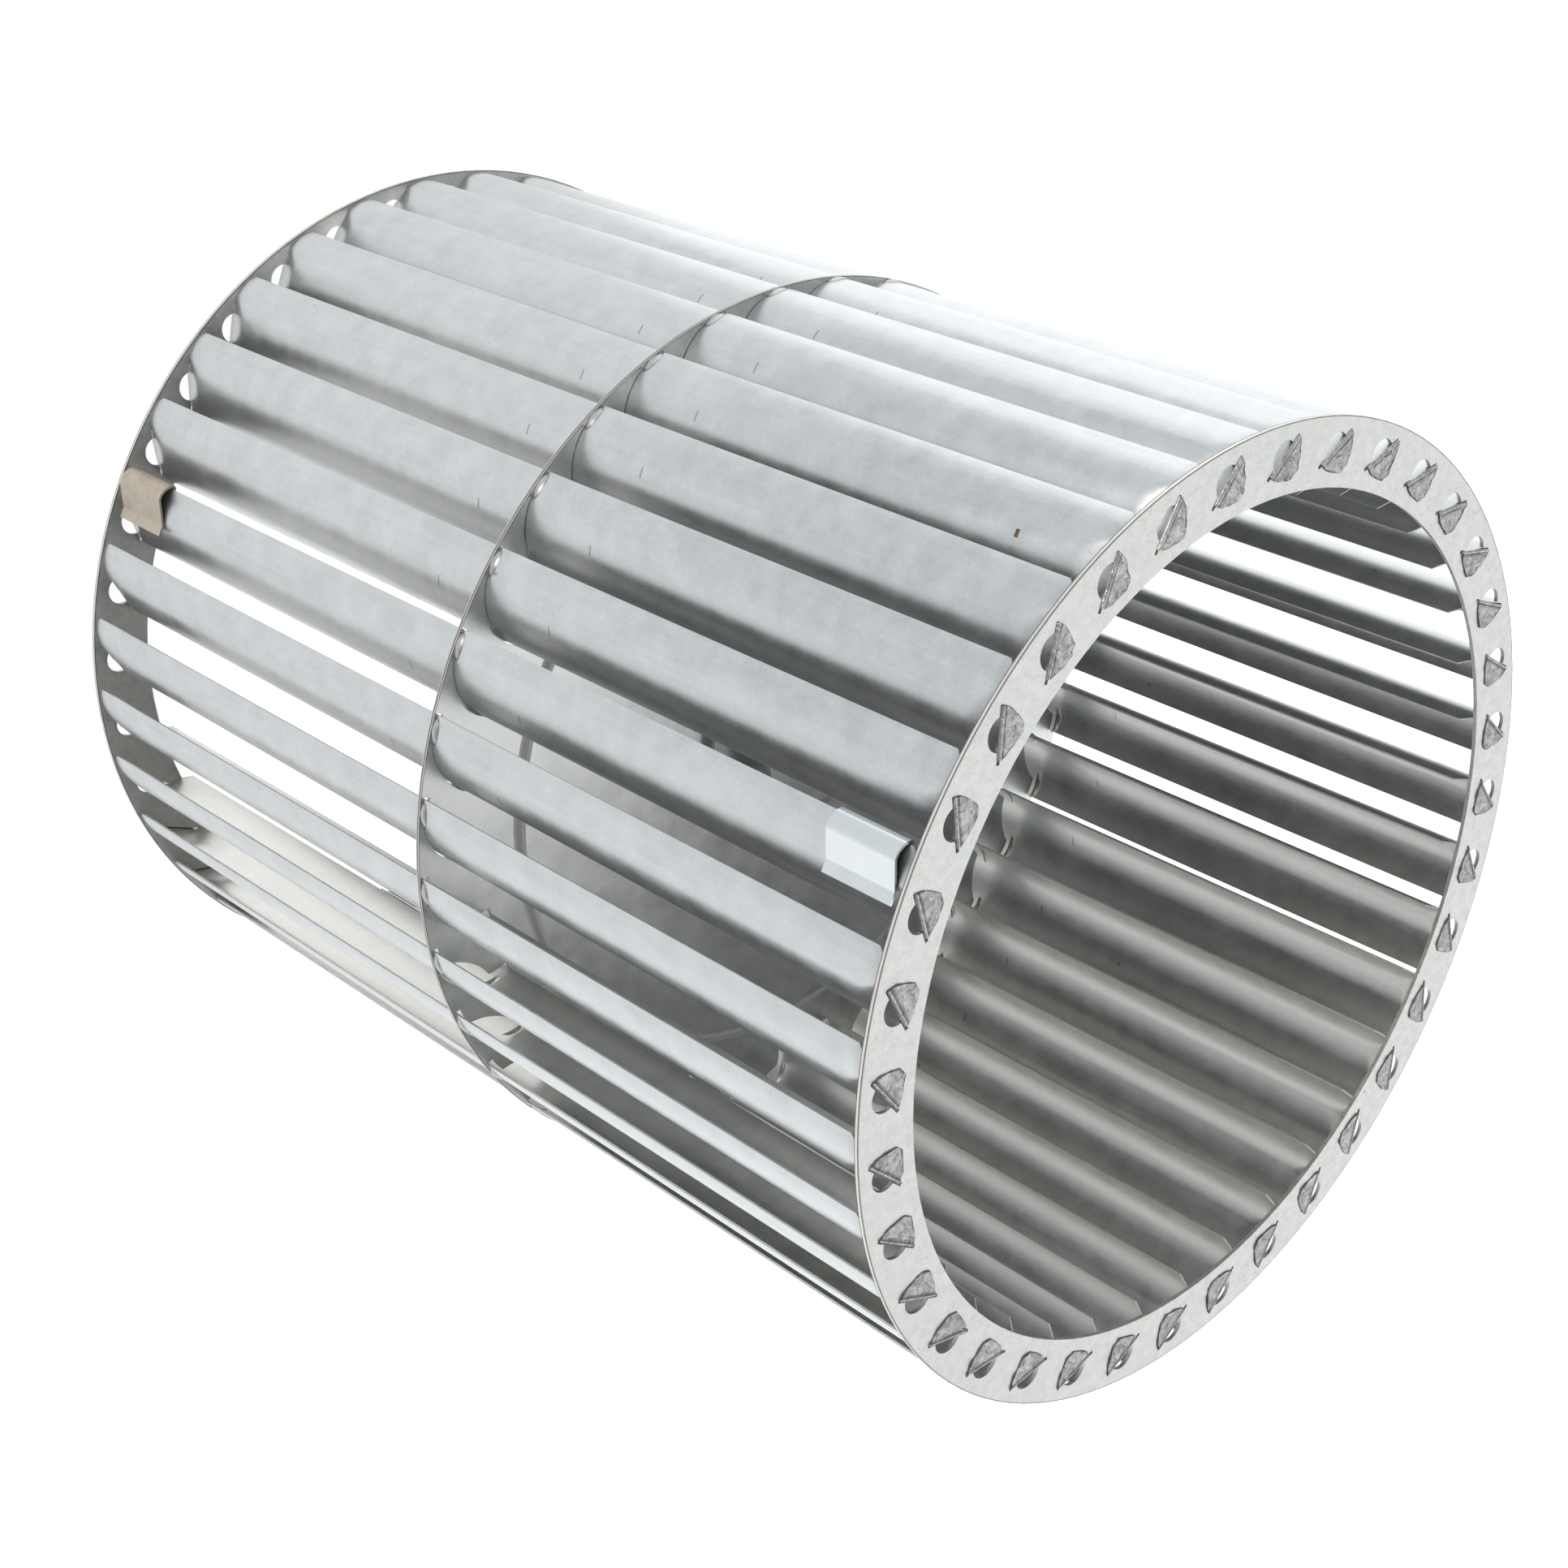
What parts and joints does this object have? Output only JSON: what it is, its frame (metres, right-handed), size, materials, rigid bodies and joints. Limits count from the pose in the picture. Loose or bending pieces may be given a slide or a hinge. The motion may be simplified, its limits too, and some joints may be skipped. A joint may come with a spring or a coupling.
{
  "type": "blower wheel",
  "caption": "Blower wheel open at both ends: curved sheet blades threaded through a slotted centre disc and folded over end rings, with a hub for a motor shaft.",
  "frame": {"origin": "on the wheel's axis, in the plane of the back tabs' outer faces that the wheel stands on", "axes": "+Z along the axis to the front ring, +Y through the middle of the first blade's chord"},
  "size_m": [0.24, 0.24, 0.291],
  "materials": {
    "blade_sheet": "galvanised sheet, dull grey blue, faintly mottled and scratched",
    "ring_sheet": "galvanised sheet, warm light grey, speckled",
    "disc_sheet": "galvanised sheet, grey, with bright worn edges",
    "hub_steel": "turned steel, oiled",
    "rivet_steel": "zinc plated, dull",
    "screw_steel": "blackened",
    "clip_bright": "bright zinc",
    "clip_tan": "dull tan zinc"
  },
  "bodies": {
    "root": {"front_ring": "ring_sheet", "back_ring": "ring_sheet", "centre_disc": "disc_sheet", "hub": "hub_steel", "hub_rivets": "rivet_steel", "hub_set_screw": "screw_steel", "front_balance_clip": "clip_bright", "back_balance_clip": "clip_tan", "blade_01": "blade_sheet", "blade_02": "blade_sheet", "blade_03": "blade_sheet", "blade_04": "blade_sheet", "blade_05": "blade_sheet", "blade_06": "blade_sheet", "blade_07": "blade_sheet", "blade_08": "blade_sheet", "blade_09": "blade_sheet", "blade_10": "blade_sheet", "blade_11": "blade_sheet", "blade_12": "blade_sheet", "blade_13": "blade_sheet", "blade_14": "blade_sheet", "blade_15": "blade_sheet", "blade_16": "blade_sheet", "blade_17": "blade_sheet", "blade_18": "blade_sheet", "blade_19": "blade_sheet", "blade_20": "blade_sheet", "blade_21": "blade_sheet", "blade_22": "blade_sheet", "blade_23": "blade_sheet", "blade_24": "blade_sheet", "blade_25": "blade_sheet", "blade_26": "blade_sheet", "blade_27": "blade_sheet", "blade_28": "blade_sheet", "blade_29": "blade_sheet", "blade_30": "blade_sheet", "blade_31": "blade_sheet", "blade_32": "blade_sheet", "blade_33": "blade_sheet", "blade_34": "blade_sheet", "blade_35": "blade_sheet", "blade_36": "blade_sheet"}
  },
  "joints": []
}
